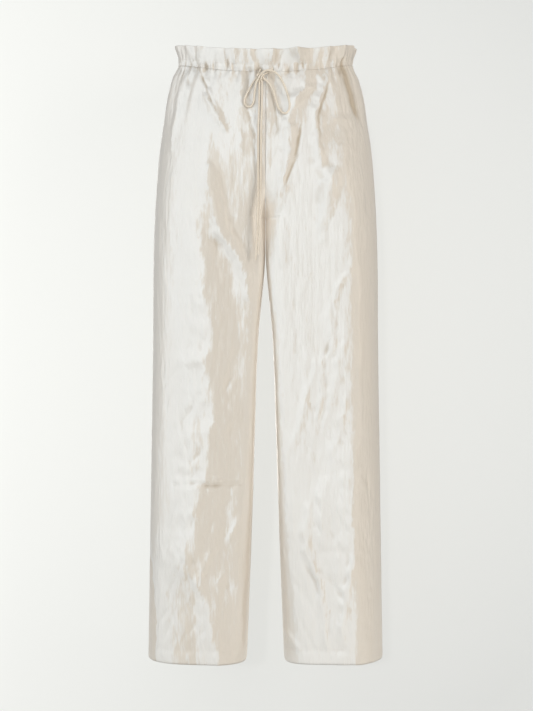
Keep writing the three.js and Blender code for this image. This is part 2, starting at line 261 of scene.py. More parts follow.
# %% Draw up the gathers and the small creases
GATHERS, RUFFLES = 48, 22
GATHER_DEPTH, RUFFLE_DEPTH, DRAPE_DEPTH = 2.0, 3.4, 2.4
GATHER_WANDER = ((1.4, 5, 0.6), (0.7, 11, 0))  # size, times round and phase
RUFFLE_WANDER = ((1.7, 3, 1), (0.8, 7, 0))
GATHER_SWELL, RUFFLE_SWELL = (0.24, 7, 2), (0.28, 4, 0.5)
REACH_UP, REACH_DOWN = 14, 26
DRAPE_STARTS, DRAPE_STAYS, DRAPE_FADES = 30, 50, 90
TABLE = (97, 89)
ORIGIN = 200  # far enough for every cell to have a positive number
BEND_CELLS, RIDGE_CELLS, SMALL_CELLS, PATCH_CELLS = (22, 28), (9, 60), (5, 26), (38, 110)


def uneven_wave(turn, count, wander, swell):
    """A wave round the waist whose spacing and strength wander."""
    shift = sum(size * np.sin(times * turn + phase) for size, times, phase in wander)
    size, times, phase = swell
    return np.sin(count * turn + shift) * (1 - size + size * np.sin(times * turn + phase))


def gathers(around, z):
    """Height of the gathers at a share of the way round the waist, 0 at the centre front."""
    turn = 2 * np.pi * around
    fine = GATHER_DEPTH * uneven_wave(turn, GATHERS, GATHER_WANDER, GATHER_SWELL)
    broad = uneven_wave(turn, RUFFLES, RUFFLE_WANDER, RUFFLE_SWELL)
    drape = smooth(-z / DRAPE_STARTS) * (1 - smooth((-z - DRAPE_STAYS) / DRAPE_FADES))
    heading = fine * np.exp(-np.abs(z) / REACH_UP) + RUFFLE_DEPTH * smooth(z / HEADING_TOP) * broad
    body = fine * np.exp(-np.abs(z) / REACH_DOWN) + DRAPE_DEPTH * drape * broad
    return np.where(z > 0, heading, body)


def field(x, z, seed, wide, tall):
    """A smooth random field from -1 to 1, whose cells are wide by tall millimetres."""
    table = np.random.default_rng(seed).uniform(-1, 1, TABLE)
    u, v = x / wide + ORIGIN, z / tall + ORIGIN
    i, j = np.floor(u).astype(int), np.floor(v).astype(int)
    s, t = smooth(u - i), smooth(v - j)

    def row(b):
        return table[i % TABLE[0], b % TABLE[1]] * (1 - s) + table[(i + 1) % TABLE[0], b % TABLE[1]] * s

    return row(j) * (1 - t) + row(j + 1) * t


def crinkle(x, z, seed):
    """The fine lengthwise crinkle of crisp cloth: sharp little ridges, stronger in some places."""
    bent = x + 4 * field(x, z, seed, *BEND_CELLS)
    ridges = 1 - 2 * np.abs(field(bent, z, seed + 1, *RIDGE_CELLS))
    small = 1 - 2 * np.abs(field(bent, z, seed + 2, *SMALL_CELLS))
    patches = 0.35 + 0.65 * smooth(0.5 + field(x, z, seed + 3, *PATCH_CELLS))
    return (0.62 * ridges + 0.44 * small) * patches


print("gathers round the waist:", GATHERS, "small and", RUFFLES, "broad")

# %% [markdown]
# ## Folds
# Crisp cloth folds in facets. A fold rises gently, turns over a sharp crest and falls away quickly, and
# on satin one side of it shines while the other stays dull. Each fold here is a list of points down its
# crest: the height, the crest's place across the body, and how wide the falling side is. Its slope says
# how steep that side is, and its rise is how far away the gentle side starts.

# %% List the folds of the front
FRONT_FOLDS = {  # rise, slope, then (height, crest, width of the falling side) down the fold
    "right_leg_edge": (60, 0.20, [
        (-255, -112, 15), (-280, -110, 18), (-303, -110, 23), (-326, -105, 33), (-351, -102, 40),
        (-382, -102, 46), (-407, -99, 48), (-459, -92, 48), (-484, -87, 48), (-508, -104, 52),
        (-542, -96, 50), (-583, -87, 48), (-609, -84, 48), (-625, -96, 50), (-709, -99, 50),
        (-720, -112, 52), (-730, -114, 54), (-772, -118, 54), (-792, -117, 54), (-814, -125, 56),
        (-841, -129, 58), (-865, -125, 54), (-881, -115, 50), (-907, -101, 46), (-937, -96, 44),
        (-969, -94, 44), (-1000, -81, 40), (-1060, -78, 40)]),
    "right_hip_wedge": (14, 0.62, [
        (12, -110, 6), (-6, -108, 8), (-33, -101, 10), (-57, -96, 11), (-89, -83, 12),
        (-108, -75, 11), (-134, -64, 5)]),
    "right_fly_strip": (10, 0.3, [(-61, -34, 5), (-76, -31, 7), (-100, -22, 7), (-127, -14, 5)]),
    "right_seat_diagonal": (24, 0.36, [
        (-174, -90, 7), (-216, -93, 22), (-255, -84, 20), (-280, -80, 26), (-303, -74, 26),
        (-326, -52, 22), (-350, -39, 20), (-383, -31, 15), (-416, -26, 10)]),
    "right_waist_crinkle": (6, 0.5, [(-121, -42, 5), (-133, -40, 6), (-155, -42, 5), (-176, -37, 5)]),
    "right_thigh_streak": (7, 0.28, [(-765, -41, 9), (-775, -45, 9), (-799, -57, 9), (-819, -66, 8)]),
    "right_knee_streak": (8, 0.3, [
        (-818, -86, 9), (-843, -98, 10), (-881, -115, 10), (-896, -121, 8)]),
    "right_shin_streak": (6, 0.28, [(-854, -66, 8), (-861, -70, 9), (-880, -83, 9), (-890, -90, 8)]),
    "right_hem_patch": (22, 0.3, [
        (-873, -38, 7), (-900, -40, 10), (-912, -42, 12), (-946, -44, 14), (-1010, -42, 14)]),
    "right_side_gather": (8, 0.55, [
        (6, -131, 4), (-3, -132, 5), (-21, -138, 7), (-43, -146, 7), (-83, -150, 7),
        (-123, -155, 6), (-165, -161, 5)]),
    "right_side_beige": (8, 0.4, [(0, -124, 4), (-12, -127, 6), (-29, -134, 8), (-55, -134, 7)]),
    "left_leg_edge": (58, 0.26, [
        (-87, 146, 13), (-103, 138, 26), (-131, 131, 40), (-162, 129, 46), (-193, 129, 48),
        (-217, 130, 48), (-240, 139, 43), (-302, 142, 43), (-345, 149, 40), (-358, 152, 37),
        (-408, 153, 37), (-642, 153, 38), (-654, 150, 42), (-667, 146, 44), (-701, 147, 45),
        (-743, 143, 46), (-773, 146, 46), (-845, 146, 44), (-898, 153, 40), (-990, 157, 37),
        (-1060, 157, 37)]),
    "left_waist_wedge": (20, 0.4, [
        (8, 68, 10), (-9, 65, 18), (-37, 65, 19), (-53, 51, 20), (-65, 46, 14), (-78, 44, 9),
        (-104, 36, 13), (-129, 37, 20), (-165, 39, 17), (-191, 34, 15), (-216, 29, 13),
        (-252, 19, 11), (-275, 15, 6)]),
    "left_hip_wedge": (16, 0.45, [
        (2, 113, 6), (-8, 110, 9), (-33, 98, 13), (-62, 89, 15), (-87, 85, 14), (-120, 85, 15),
        (-164, 86, 18), (-198, 93, 7)]),
    "left_faint_strip": (12, 0.25, [(-3, 120, 6), (-45, 122, 8), (-95, 126, 5)]),
    "left_side_v": (8, 0.6, [(4, 136, 4), (-10, 138, 5), (-64, 150, 6), (-92, 155, 6), (-128, 163, 5)]),
    "left_seat_diagonal": (16, 0.38, [
        (-185, 110, 12), (-216, 102, 22), (-236, 100, 21), (-255, 98, 17), (-288, 93, 11), (-325, 99, 5)]),
    "left_seat_patch": (20, 0.18, [(-265, 21, 13), (-290, 19, 20), (-333, 26, 16), (-360, 29, 10)]),
    "left_thigh_crease": (9, 0.5, [
        (-335, 146, 4), (-364, 137, 6), (-382, 122, 8), (-404, 113, 8), (-420, 110, 8), (-440, 107, 8),
        (-465, 111, 8), (-493, 109, 8), (-502, 99, 8), (-518, 93, 8), (-538, 92, 8), (-563, 96, 7),
        (-593, 89, 7), (-615, 84, 5)]),
    "left_inner_streak": (9, 0.22, [
        (-500, 88, 8), (-538, 77, 10), (-587, 63, 10), (-637, 50, 10), (-666, 42, 7)]),
    "left_outer_streak": (8, 0.2, [
        (-467, 139, 8), (-489, 124, 10), (-567, 112, 10), (-607, 100, 10), (-640, 93, 7)]),
    "left_side_streak": (8, 0.2, [(-556, 137, 7), (-577, 132, 9), (-646, 116, 9), (-675, 107, 6)]),
    "left_shin_crease": (12, 0.42, [
        (-742, 72, 8), (-780, 69, 11), (-825, 67, 12), (-845, 76, 12), (-876, 89, 11), (-907, 93, 10),
        (-938, 97, 8), (-1000, 104, 7)]),
    "left_knee_panel": (26, 0.18, [
        (-700, 99, 13), (-726, 94, 23), (-767, 94, 26), (-799, 94, 22), (-830, 97, 10)]),
    "left_side_crease": (10, 0.45, [
        (-825, 147, 5), (-845, 142, 7), (-865, 138, 8), (-897, 132, 8), (-938, 129, 8), (-984, 128, 7)]),
    "left_hem_diagonal": (7, 0.45, [(-950, 27, 5), (-966, 34, 7), (-991, 54, 7), (-1004, 70, 5)]),
    "heading_right_side": (6, 0.6, [(44, -104, 8), (24, -114, 7), (4, -120, 4)]),
    "heading_right": (10, 0.6, [(44, -58, 15), (24, -53, 9), (2, -48, 3)]),
    "heading_middle_right": (9, 0.55, [(44, -28, 11), (24, -23, 7), (2, -15, 3)]),
    "heading_middle": (8, 0.52, [(44, 15, 24), (24, 14, 14), (4, 14, 4)]),
    "heading_left": (12, 0.55, [(44, 46, 33), (24, 52, 24), (2, 62, 9)]),
    "heading_left_side": (10, 0.55, [(44, 108, 11), (24, 107, 9), (2, 105, 6)]),
    "heading_left_edge": (7, 0.4, [(44, 130, 20), (24, 130, 18), (2, 128, 14)]),
}
print("folds on the front:", len(FRONT_FOLDS))

# %% [markdown]
# The back hangs from the waist in longer, quieter folds: two from each side of the centre seam, one
# diagonal drag line under each side of the seat, and a long edge down each leg.

# %% List the folds of the back
BACK_FOLDS = {
    "right_waist": (26, 0.34, [(8, -124, 10), (-60, -116, 16), (-130, -106, 15), (-190, -97, 8)]),
    "right_middle": (20, 0.3, [(8, -66, 9), (-50, -66, 13), (-110, -70, 12), (-160, -72, 6)]),
    "right_seat": (26, 0.34, [
        (-180, -112, 9), (-220, -92, 18), (-270, -66, 20), (-320, -44, 12), (-345, -36, 6)]),
    "right_leg_edge": (60, 0.18, [
        (-300, -86, 16), (-400, -92, 44), (-520, -97, 48), (-640, -90, 48), (-760, -99, 48),
        (-880, -94, 44), (-1060, -100, 44)]),
    "right_calf": (16, 0.3, [(-620, -60, 8), (-700, -66, 13), (-800, -52, 12), (-880, -48, 7)]),
    "right_side": (18, 0.3, [(-420, -146, 8), (-560, -140, 13), (-700, -147, 12), (-860, -138, 7)]),
    "left_waist": (22, 0.34, [(8, 104, 10), (-60, 100, 16), (-130, 104, 15), (-180, 106, 8)]),
    "left_middle": (20, 0.3, [(8, 48, 9), (-50, 52, 13), (-110, 62, 12), (-172, 68, 6)]),
    "left_seat": (24, 0.34, [(-190, 96, 9), (-230, 76, 18), (-280, 52, 20), (-330, 34, 12), (-356, 28, 6)]),
    "left_leg_edge": (60, 0.18, [
        (-300, 90, 16), (-400, 96, 44), (-520, 92, 48), (-640, 99, 48), (-760, 94, 48),
        (-880, 101, 44), (-1060, 98, 44)]),
    "left_calf": (16, 0.3, [(-540, 52, 8), (-640, 58, 13), (-760, 62, 12), (-880, 56, 7)]),
    "left_side": (18, 0.3, [(-380, 140, 8), (-500, 146, 13), (-640, 138, 12), (-800, 146, 7)]),
}
print("folds on the back:", len(BACK_FOLDS))

# %% [markdown]
# Narrow sharp creases run beside the folds of the front. Some strips carry a painted highlight and others a
# painted shade, which make the satin brighter or duller than its form alone makes it. Level creases cross
# the right leg in front and the left one behind, where the cloth was folded. Short drag lines slant out from
# the inseams, and the channel is puckered all along.

# %% List the creases and the painted shine strips
CREASES = {  # depth, width, then (height, place across) down the crease
    "left_side_pleat": (10, 6.0, [(10, 128), (-4, 130), (-30, 137), (-60, 145), (-92, 153), (-124, 160)]),
    "left_side_pinch": (5, 2.4, [(16, 133), (4, 128), (-12, 126), (-24, 125)]),
    "fly_curve": (3.4, 2.3, [(-52, -34), (-83, -30), (-108, -24), (-135, -19), (-200, -16)]),
    "fly_right": (3.6, 2.3, [(-36, 10), (-64, 13), (-123, 20), (-160, 8)]),
    "left_waist_line": (3.6, 2.8, [(-96, 60), (-140, 56), (-176, 49), (-208, 37), (-268, 16)]),
    "left_hip_line": (4.2, 3.0, [(-6, 110), (-60, 97), (-97, 87), (-145, 90), (-200, 107)]),
    "left_thigh_line": (2.4, 3.0, [
        (-340, 148), (-380, 128), (-410, 112), (-470, 109), (-510, 97), (-560, 95), (-620, 84)]),
    "left_shin_line": (1.3, 3.2, [(-755, 68), (-800, 69), (-850, 74), (-900, 90), (-935, 97), (-1010, 98)]),
    "left_side_line": (1.3, 3.2, [(-825, 143), (-850, 137), (-909, 130), (-980, 127)]),
    "right_knee_line": (1.2, 3.2, [(-600, -144), (-650, -133), (-712, -119)]),
    "right_shin_line": (1.5, 3.2, [(-755, -121), (-829, -125), (-895, -106)]),
    "heading_middle_line": (3.0, 2.4, [(50, 24), (24, 17), (-4, 15)]),
    "heading_left_line": (3.0, 2.4, [(50, 113), (24, 108), (-4, 105)]),
    "right_hip_line": (5.0, 2.8, [(14, -111), (-8, -110), (-33, -100), (-57, -93), (-89, -80), (-112, -69)]),
    "right_side_pleat": (3.4, 2.2, [(14, -120), (-2, -125), (-20, -130), (-52, -132)]),
    "right_side_tuck": (3.4, 2.2, [(8, -134), (-14, -138), (-40, -144)]),
    "right_waist_tuck": (1.4, 1.7, [(10, -100), (-20, -103), (-44, -105)]),
    "fly_fold": (1.9, 2.2, [(-46, 2), (-80, 5), (-120, 3), (-150, 4)]),
    "fly_tuck": (1.5, 2.0, [(-60, 24), (-96, 27), (-132, 24), (-150, 22)]),
}
# Painted highlight and painted shade: strips where the satin's colour is pushed towards the lit or the
# shaded ivory.
PAINTED_SHINE_STRIPS = {  # how far the shine is turned to the light, then (height, left, right) down the strip
    "left_leg": (0.20, [(60, 4, 127), (-20, 4, 134), (-120, 6, 146), (-400, 10, 150), (-690, 14, 153)]),
    "left_low_leg": (0.26, [(-660, 14, 153), (-1100, 20, 156)]),
    "left_pocket": (0.30, [(-8, 94, 126), (-50, 98, 130), (-112, 106, 138)]),
    "left_middle": (0.16, [(-60, 62, 88), (-160, 60, 88), (-300, 40, 92)]),
    "right_knee": (-0.22, [(-590, -120, -98), (-650, -134, -100), (-716, -128, -108)]),
    "right_shin": (-0.2, [(-780, -190, -122), (-900, -196, -116), (-1100, -200, -110)]),
    "right_low_side": (-0.1, [(-830, -190, -120), (-940, -192, -112), (-1100, -192, -104)]),
    "right_low_inside": (0.14, [(-850, -104, -40), (-1100, -98, -40)]),
    "right_hem_edge": (-1.3, [
        (-700, -215, -206), (-820, -215, -193), (-900, -215, -184), (-1100, -215, -178)]),
    "right_diagonal": (-0.30, [(-112, -98, -88), (-170, -102, -74), (-240, -104, -62), (-300, -104, -60)]),
}
print("creases:", len(CREASES), "turned strips:", len(PAINTED_SHINE_STRIPS))

# %% Add up everything that raises or dents the cloth
FOLD_FADE, RISE_POWER = 14, 1.6
MOST_JAG, JAG_SHARE, CREST_WANDER = 3.2, 0.12, 2.2
CROSSING_ENDS, CROSSING_GAP, CROSSING_WIDTH = 18, 3, 3.2
FRONT_CROSSINGS = ((-160, -30, -713, 2.8, 0), (-140, -60, -630, 0.7, -6))  # left, right, height, depth, drop
BACK_CROSSINGS = ((40, 145, -700, 1.4, 0),)
SHINE_STRIP_EDGE, SHINE_STRIP_FADE, SHINE_STRIP_JAG = 9, 30, 3
DENT_WANDER, DENT_POWER = 1.2, 1.4
DENT_TOP, DENT_BOTTOM = 0.2, 0.4  # the shares of its length in which a crease fades
CHANNEL_TOP, CHANNEL_BOTTOM = 8, -4.5
CORD_HEIGHT, CORD_REACH, PINCH_REACH, UNEVEN_REACH = 1.5, 4.5, 1.8, 15
PUCKERS, PUCKER_REACH = 40, 160
LEAST_PUCKER = (-6, 7, -0.3, 1.6, 1.8)  # height, length, lean, depth, width
MOST_PUCKER = (4, 16, 0.3, 5.2, 2.7)
HEM_ROW = HEM + HEM_TURN - 3
HEM_PUCKER_REACH, HEM_LINE_REACH = 11, 3.2
DRAG_LINES = 70
LEAST_DRAG = (-1000, 40, 0.1, 10, 0.8, 2.6)  # height, place, lean, length, depth, width
MOST_DRAG = (-540, 178, 0.9, 28, 2.1, 4.0)
CRINKLE = 1.05
FRONT_SEEDS, BACK_SEEDS = (45, 43, 31, 41), (55, 53, 61, 51)  # drag lines, hem, crinkle, channel


def hill(value, middle, reach):
    """1 at the middle, and a soft fall to 0 on both sides of it."""
    return np.exp(-(((value - middle) / reach) ** 2))


def pinched(across, z, middle, length, depth):
    """A short sharp crease. across is the distance from its line in widths."""
    return -depth * np.exp(-np.abs(across) ** 1.5 - ((z - middle) / length) ** 2)


def down_a_line(z, rows, top_fade, bottom_fade):
    """The other columns of a line's rows at height z, and a strength that fades out at its two ends."""
    heights, *columns = np.array(rows[::-1], float).T
    ends = smooth((heights[-1] - z) / top_fade) * smooth((z - heights[0]) / bottom_fade)
    return [np.interp(z, heights, column) for column in columns], ends


def fold_height(x, z, rise, slope, rows):
    """Height of one fold: a gentle rise, a sharp crest and a straight fall."""
    (crest, width), ends = down_a_line(z, rows, FOLD_FADE, FOLD_FADE)
    jag = min(MOST_JAG, JAG_SHARE * rise) * field(x + 0.5 * z, z, 10, 8, 9)
    across = x - (crest + CREST_WANDER * field(x, z, 7, 60, 16) + jag)
    rising = np.clip(1 + across / rise, 0, 1) ** RISE_POWER
    falling = np.clip(1 - across / width, 0, 1)
    return slope * width * ends * np.where(across < 0, rising, falling)


def cross_crease(x, z, left, right, height, depth, drop):
    """A short crease that runs across a leg, as cloth gets where it was folded."""
    line = height + drop * (x - left) / (right - left) + 1.5 * field(x, z, 21, 12, 90)
    ends = smooth((x - left) / CROSSING_ENDS) * smooth((right - x) / CROSSING_ENDS)
    uneven = depth * ends * (1 + 0.7 * field(x, z, 22, 7, 60))
    above, below = line + CROSSING_GAP, line - CROSSING_GAP
    return uneven * (hill(z, above, CROSSING_WIDTH) - hill(z, below, CROSSING_WIDTH))


def painted_shine(x, z):
    """Painted highlight and shade at (x, z): how far the shine of the cloth is painted as turned beyond what
    the form does.
    """
    total = 0 * x
    jag = SHINE_STRIP_JAG * field(x, z, 12, 4, 14)
    for turn, rows in PAINTED_SHINE_STRIPS.values():
        (left, right), ends = down_a_line(z, rows, SHINE_STRIP_FADE, SHINE_STRIP_FADE)
        inside = smooth((x - left - jag) / SHINE_STRIP_EDGE) * smooth((right - x + jag) / SHINE_STRIP_EDGE)
        total = total + turn * inside * ends
    return total


def dent(x, z, depth, width, rows):
    """A narrow sharp crease along a line."""
    length = rows[0][0] - rows[-1][0]
    (place,), ends = down_a_line(z, rows, DENT_TOP * length, DENT_BOTTOM * length)
    across = (x - place - DENT_WANDER * field(x, z, 9, 60, 11)) / width
    return -depth * ends * np.exp(-np.abs(across) ** DENT_POWER)


def puckers(x, z, seed):
    """Short pinched creases at uneven distances along the channel, where the cord draws the cloth in."""
    chance = np.random.default_rng(seed)
    steps = np.arange(PUCKERS) + chance.uniform(0, 0.9, PUCKERS)
    height = 0 * x
    for place in -PUCKER_REACH + steps * 2 * PUCKER_REACH / PUCKERS:
        middle, length, lean, depth, width = chance.uniform(LEAST_PUCKER, MOST_PUCKER)
        height = height + pinched((x - place - lean * (z - middle)) / width, z, middle, length, depth)
    return height


def channel(x, z, seed):
    """The cord's channel: full where the cord lies, pinched at its stitching and puckered all along."""
    pinch = hill(z, CHANNEL_TOP, PINCH_REACH) + hill(z, CHANNEL_BOTTOM, PINCH_REACH)
    uneven = hill(z, 1, UNEVEN_REACH) * field(x + 0.2 * z, z, seed, 9, 26)
    return 0.6 * hill(z, CORD_HEIGHT, CORD_REACH) - 0.4 * pinch + uneven + puckers(x, z, seed)


def hem_pull(x, z, seed):
    """The hem's stitching pulls the cloth in a little, unevenly."""
    uneven = 0.8 * field(x, z, seed, 7, 14) * hill(z, HEM_ROW, HEM_PUCKER_REACH)
    return uneven - 1.3 * hill(z, HEM_ROW, HEM_LINE_REACH)


def drag_lines(x, z, seed):
    """Short slanting creases in the lower legs. They fan out from the inseam on both sides."""
    chance = np.random.default_rng(seed)
    height = 0 * x
    for line in range(DRAG_LINES):
        middle, place, lean, length, depth, width = chance.uniform(LEAST_DRAG, MOST_DRAG)
        side = 1 if line % 2 else -1
        across = (x - side * place + side * lean * (z - middle)) / width
        height = height + pinched(across, z, middle, length, depth)
    return height


def relief(x, z, folds, creases, crossings, seeds):
    """Height of all folds at (x, z), from the longest down to the fine crinkle."""
    drag, hem, fine, cord = seeds
    height = sum(fold_height(x, z, *fold) for fold in folds.values())
    height = height + sum(dent(x, z, *crease) for crease in creases.values())
    height = height + sum(cross_crease(x, z, *crossing) for crossing in crossings)
    height = height + drag_lines(x, z, drag) + hem_pull(x, z, hem)
    return height + CRINKLE * crinkle(x, z, fine) + channel(x, z, cord)


def front_relief(x, z):
    return relief(x, z, FRONT_FOLDS, CREASES, FRONT_CROSSINGS, FRONT_SEEDS)


def back_relief(x, z):
    return relief(x, z, BACK_FOLDS, {}, BACK_CROSSINGS, BACK_SEEDS)


print("drag lines on each side:", DRAG_LINES, "puckers on each side:", PUCKERS)

# %% [markdown]
# ## Leg panels
# Four panels make the pants: a front and a back for each leg. Each starts as a flat grid, like the cut
# piece of cloth, and every point of the grid is moved to its place on the form. The lowest rows turn up
# inside the leg for the hem. Solidify then gives the cloth its thickness on the inner side, so that the
# outer face stays exactly on the form. The grid's own map is stretched to real metres, which lets the
# weave follow the cloth.

# %% Make one piece of cloth from a grid
CLOTH = 0.9
HEM_INSET = 2.2
SEAM_DIP = 0.7
END_DROP = 3.5
PANEL_ARC = 320
SEAM_WIDTH, SEAM_PUCKER, SEAM_PUCKER_REACH = 1.8, 0.5, 9
SEAM_CALM, SIDE_CALM = 30, 0.05  # folds fade within this many millimetres or this share of a seam
FEATHER = 2.2
# Painted shade in the creases and along the dents of the front.
CREASE_SHADE_SHARE, CREASE_SHADE_SPREAD, LINE_SHADE_SHARE = 0.65, 14, 0.25
# Where the inseams are: a painted shade line on the left leg's inseam, and a painted glow of bounced light
# on both inseams, strongest at the crotch.
INSEAM_FROM, INSEAM_FADE, INSEAM_REACH = -150, 110, 3.5
LEFT_GLOW, LEFT_INSEAM_SHADE, LEFT_INSEAM_SHADE_FADE = 0.5, 1.3, 60
CROTCH_GLOW, CROTCH_ACROSS, CROTCH_DOWN = 1.3, 15, 34


def select_only(piece):
    """Selects one piece and makes it the active one."""
    bpy.ops.object.select_all(action="DESELECT")
    piece.select_set(True)
    bpy.context.view_layer.objects.active = piece


def soften(values, times):
    """Evens a grid of heights out a little, both across and down."""
    for _ in range(times):
        wide = np.pad(values, ((0, 0), (1, 1)), mode="edge")
        values = 0.25 * wide[:, :-2] + 0.5 * wide[:, 1:-1] + 0.25 * wide[:, 2:]
        tall = np.pad(values, ((1, 1), (0, 0)), mode="edge")
        values = 0.25 * tall[:-2] + 0.5 * tall[1:-1] + 0.25 * tall[2:]
    return values


def cloth_points(face, share, z, relief, centre_seam=True):
    """Places on the cloth's outer face in millimetres, the level direction out of it and its raised height.

    share runs from -1 at the right side seam, through 0 at the centre, to 1 at the left side seam.
    """
    side, t = np.where(share < 0, -1, 1), np.abs(share)
    if centre_seam:
        side = np.full_like(side, 1 if share.mean() > 0 else -1)
    around = 0.25 * share % 1 if face < 0 else 0.5 - 0.25 * share
    place, outward, fullness = form(side, face, t, z)
    to_edge = np.minimum(t, 1 - t) if centre_seam else 1 - t
    calm = smooth(np.abs(place[..., 0]) / SEAM_CALM) if centre_seam else 1
    folds = soften(relief(place[..., 0], z) * fullness * calm * smooth((1 - t) / SIDE_CALM), 1)
    edge = to_edge * PANEL_ARC
    pucker = SEAM_PUCKER * field(0 * z + 7 * face, z, 5, 1, 9) * np.exp(-edge / SEAM_PUCKER_REACH)
    raised = gathers(around, z) + folds + pucker - SEAM_DIP * hill(edge, 0, SEAM_WIDTH)
    place = place + raised[..., None] * outward
    place[..., 2] -= END_DROP * t**2 * smooth(z / HEADING_TOP)
    along = np.gradient(place, axis=1)
    level = np.stack([-along[..., 1], along[..., 0], 0 * z], -1)
    level *= np.sign((level * outward).sum(-1, keepdims=True))
    level /= np.linalg.norm(level, axis=-1, keepdims=True)
    if centre_seam:
        place[..., 0] = side * np.maximum(SEAM_GAP, side * place[..., 0])
    place[..., 1] = face * np.maximum(SEAM_GAP, face * place[..., 1])
    return place, level, raised


def feathered(values, x, z):
    """The same values with ragged edges: neighbouring threads take theirs from a little to either side."""
    spacing = np.abs(np.diff(x, axis=1)).mean()
    shift = FEATHER / spacing * (field(x, z, 13, 3, 9) + 0.6 * field(x, z, 14, 6, 30))
    column = np.clip(np.rint(np.arange(x.shape[1]) + shift).astype(int), 0, x.shape[1] - 1)
    return np.take_along_axis(values, column, 1)


def shine_maps(face, place, level, raised, z):
    """Painted shade and light: shade in the creases and on the left inseam, which way the face is turned
    with the painted shine strips, and a painted glow where the legs press on each other.
    """
    x = place[..., 0]
    # Painted shade: the colour is darkened where the cloth lies lower than its surroundings.
    crease = CREASE_SHADE_SHARE * np.clip(soften(raised, CREASE_SHADE_SPREAD) - raised, 0, None)
    beside = np.abs(x) - np.where(z > CROTCH, 0, section(z, INNER))
    inseam = np.exp(-np.maximum(0, beside) / INSEAM_REACH) * smooth((INSEAM_FROM - z) / INSEAM_FADE)
    # Painted shade: a darker line along the left leg's inseam.
    crease = crease + LEFT_INSEAM_SHADE * inseam * (x > 0) * smooth((CROTCH - z) / LEFT_INSEAM_SHADE_FADE)
    # Painted light: a glow along the inseams, weaker on the left leg, and at the crotch, standing in for
    # light that bounces between the legs.
    bounce_glow = inseam * np.where(x > 0, LEFT_GLOW, 1)
    bounce_glow = bounce_glow + CROTCH_GLOW * hill(x, 0, CROTCH_ACROSS) * hill(z, CROTCH, CROTCH_DOWN)
    turned = feathered(soften(level[..., 0], 2), x, z)
    if face < 0:
        # Painted highlight and shade: the strips shift which way the face counts as turned.
        turned = turned - painted_shine(x, z)
        crease = crease - LINE_SHADE_SHARE * sum(dent(x, z, *line) for line in CREASES.values())
    return {"crease": crease, "turned": turned, "bounce_glow": bounce_glow}


def cloth_piece(name, face, span, columns, heights, insets, relief):
    """A grid of cloth laid over the form, with its thickness."""
    bpy.ops.mesh.primitive_grid_add(x_subdivisions=columns, y_subdivisions=len(heights) - 1, size=2)
    piece = bpy.context.object
    piece.name = piece.data.name = name
    mesh = piece.data
    flat = np.zeros(len(mesh.vertices) * 3)
    mesh.vertices.foreach_get("co", flat)
    flat = flat.reshape(-1, 3)
    column = np.rint((flat[:, 0] + 1) / 2 * columns).astype(int)
    row = np.rint((1 - flat[:, 1]) / 2 * (len(heights) - 1)).astype(int)
    share, z = np.meshgrid(np.linspace(*span, columns + 1)[:: -face], np.array(heights, float))
    place, level, raised = cloth_points(face, share, z, relief, centre_seam=span != (-1, 1))
    place = place - np.array(insets, float)[:, None, None] * level
    mesh.vertices.foreach_set("co", (place[row, column] * MM).ravel())
    for kind, values in shine_maps(face, place, level, raised, z).items():
        layer = mesh.attributes.new(kind, "FLOAT", "POINT")
        layer.data.foreach_set("value", values[row, column].astype(np.float32))
    across = np.linalg.norm(np.diff(place, axis=1, prepend=place[:, :1]), axis=-1).cumsum(1).mean(0)
    down = np.linalg.norm(np.diff(place, axis=0, prepend=place[:1]), axis=-1).cumsum(0).mean(1)
    loops = np.zeros(len(mesh.loops), int)
    mesh.loops.foreach_get("vertex_index", loops)
    weave = np.stack([across[column[loops]], -down[row[loops]]], -1) * MM
    mesh.uv_layers[0].data.foreach_set("uv", weave.ravel())
    mesh.update()
    select_only(piece)
    bpy.ops.object.shade_smooth()
    wall = piece.modifiers.new("thickness", "SOLIDIFY")
    wall.thickness = CLOTH * MM
    wall.offset = -1
    bpy.ops.object.modifier_apply(modifier=wall.name)
    print(name, "has", len(mesh.polygons), "faces and is", round(across[-1]), "by", round(down[-1]), "mm")
    return piece


# %% Cut and hang the four panels
UPPER_ROWS, LOWER_ROWS, TURN_ROWS = 76, 232, 8
FINE_ROWS_END = -170
LAP = 2.8
HEM_ROUND = 0.6
FRONT_COLUMNS, BACK_COLUMNS = 150, 120

panel_heights = [
    *np.linspace(WAIST_SEAM + LAP, FINE_ROWS_END, UPPER_ROWS, endpoint=False),
    *np.linspace(FINE_ROWS_END, HEM, LOWER_ROWS),
    *np.linspace(HEM + HEM_ROUND, HEM + HEM_TURN, TURN_ROWS),
]
panel_insets = [0] * (UPPER_ROWS + LOWER_ROWS - 1) + [HEM_ROUND] + [HEM_INSET] * TURN_ROWS
RIGHT, LEFT, BOTH = (-1, 0), (0, 1), (-1, 1)
panels = {
    node: cloth_piece(f"{node}_cloth", face, span, columns, panel_heights, panel_insets, relief)
    for node, face, span, columns, relief in (
        ("front_right", -1, RIGHT, FRONT_COLUMNS, front_relief),
        ("front_left", -1, LEFT, FRONT_COLUMNS, front_relief),
        ("back_right", 1, RIGHT, BACK_COLUMNS, back_relief),
        ("back_left", 1, LEFT, BACK_COLUMNS, back_relief),
    )
}

# %% [markdown]
# ## Waistband
# The waistband is a strip folded double: its top stands free above the cord as a small ruffle, and two
# rows of stitching hold the channel that the cord runs in. It is the same grid of cloth again. It starts
# inside at the waist seam, goes up and over the top edge, and comes down outside.

# %% Fold the waistband
BAND_INSET = 3.2
LAP_INSET, LAP_FADE = 1.0, 11
EDGE_TOP, EDGE_ROUND = HEADING_TOP - 0.1, 0.7
BAND_COLUMNS, BAND_ROWS = 320, 32

